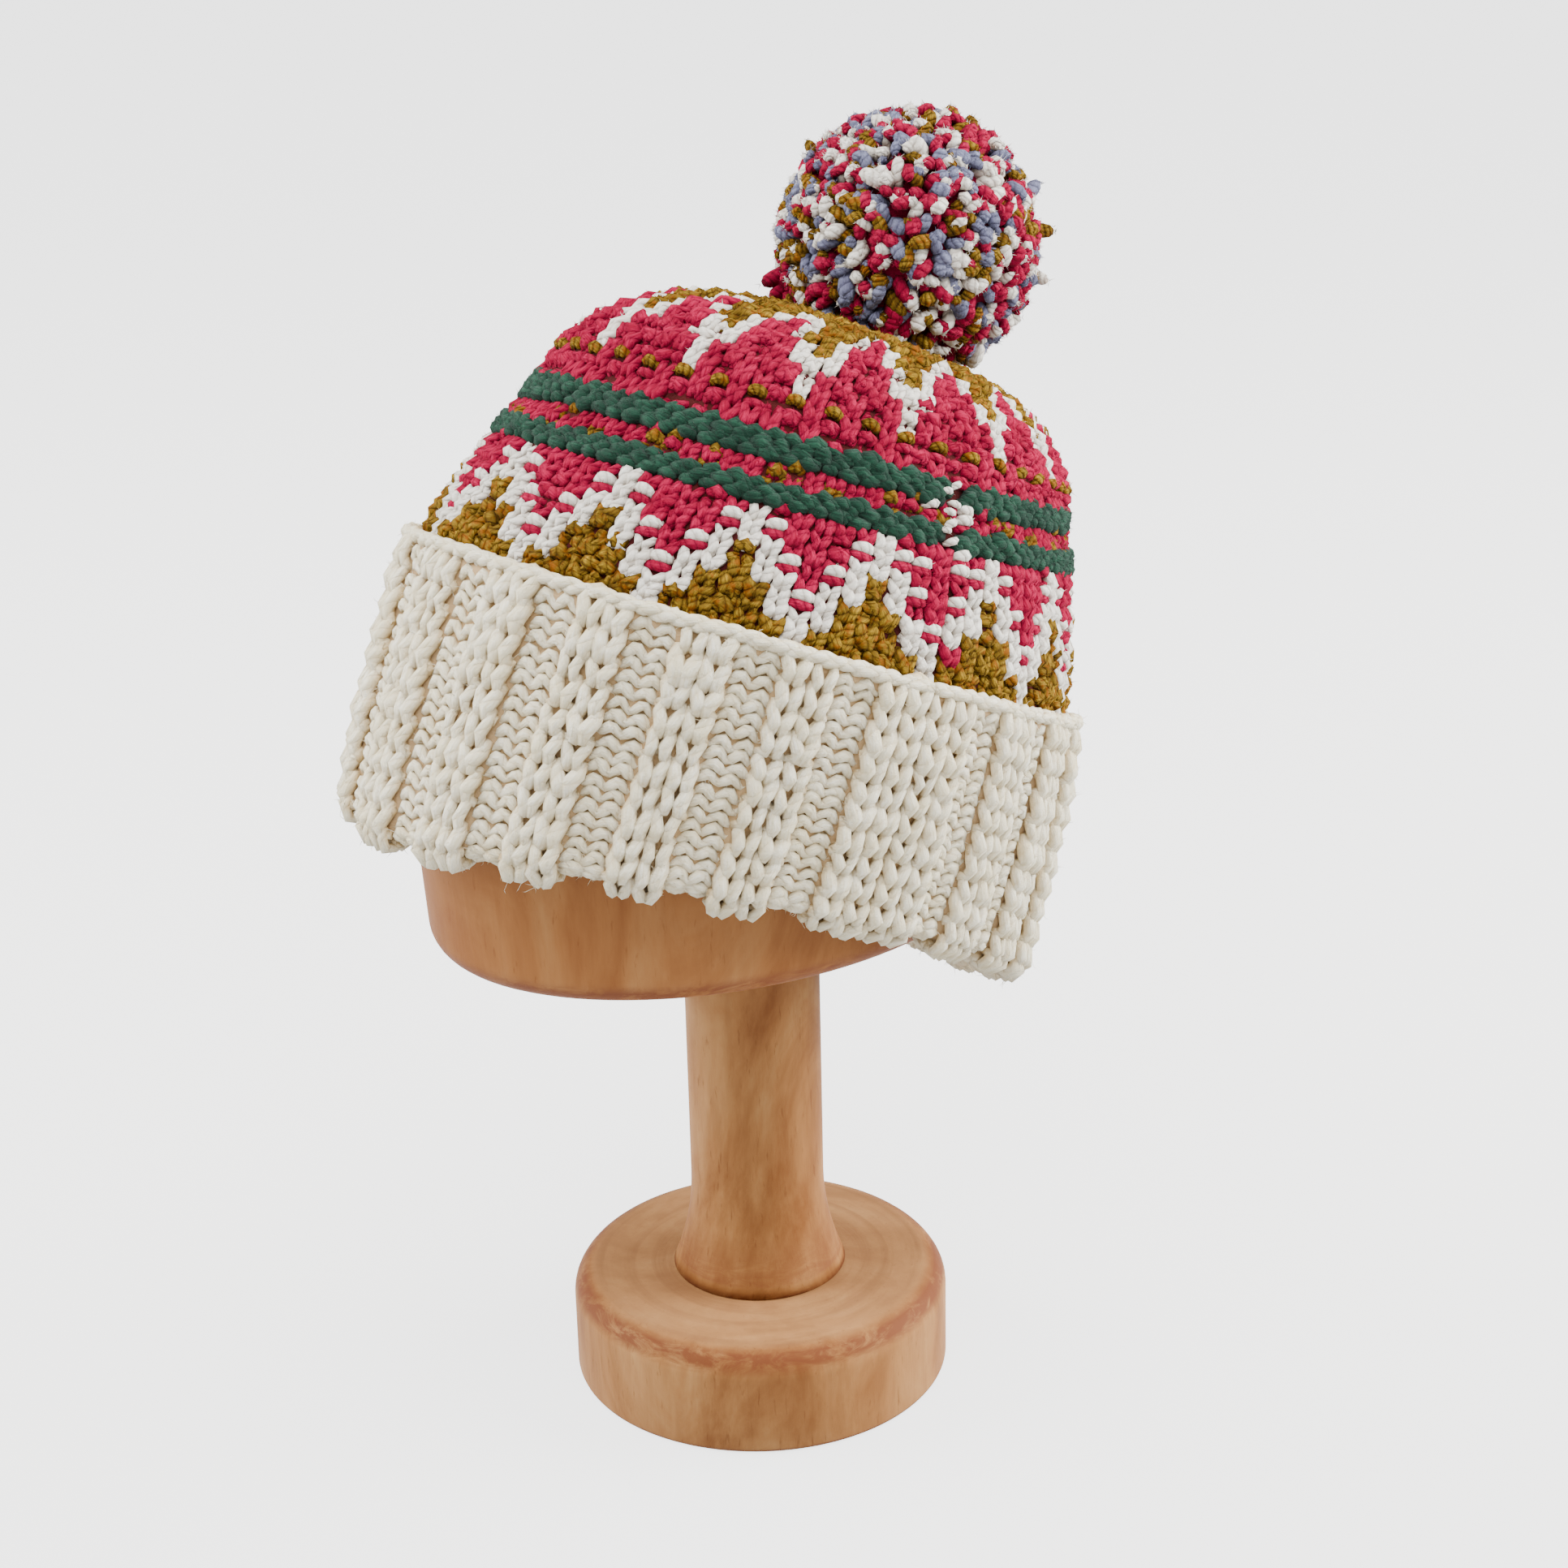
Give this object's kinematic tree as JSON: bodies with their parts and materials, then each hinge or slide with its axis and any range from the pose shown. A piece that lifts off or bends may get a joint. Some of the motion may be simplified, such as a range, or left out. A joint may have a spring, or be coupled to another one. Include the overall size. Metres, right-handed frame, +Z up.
{
  "type": "bobble beanie on a wooden hat stand",
  "caption": "Knitted bobble beanie with a deep ribbed turn-up and a stranded colourwork body, tipped back on a turned wooden hat stand with an oval block.",
  "frame": {"origin": "centre of the stand base's flat underside, on the surface it stands on", "axes": "+Z up along the stand's post, the beanie's front towards -Y, its left side as worn towards +X"},
  "size_m": [0.2139, 0.2521, 0.4193],
  "materials": {
    "cuff_wool": "matte",
    "cream_wool": "matte",
    "crimson_wool": "matte",
    "mustard_wool": "matte",
    "green_wool": "matte",
    "grey_wool": "matte",
    "stand_wood": "satin"
  },
  "bodies": {
    "root": {"ribbed_cuff": "cuff_wool", "patterned_body": "crimson_wool", "pompom": "mustard_wool", "stand_base": "stand_wood", "stand_post": "stand_wood", "stand_block": "stand_wood"}
  },
  "joints": []
}
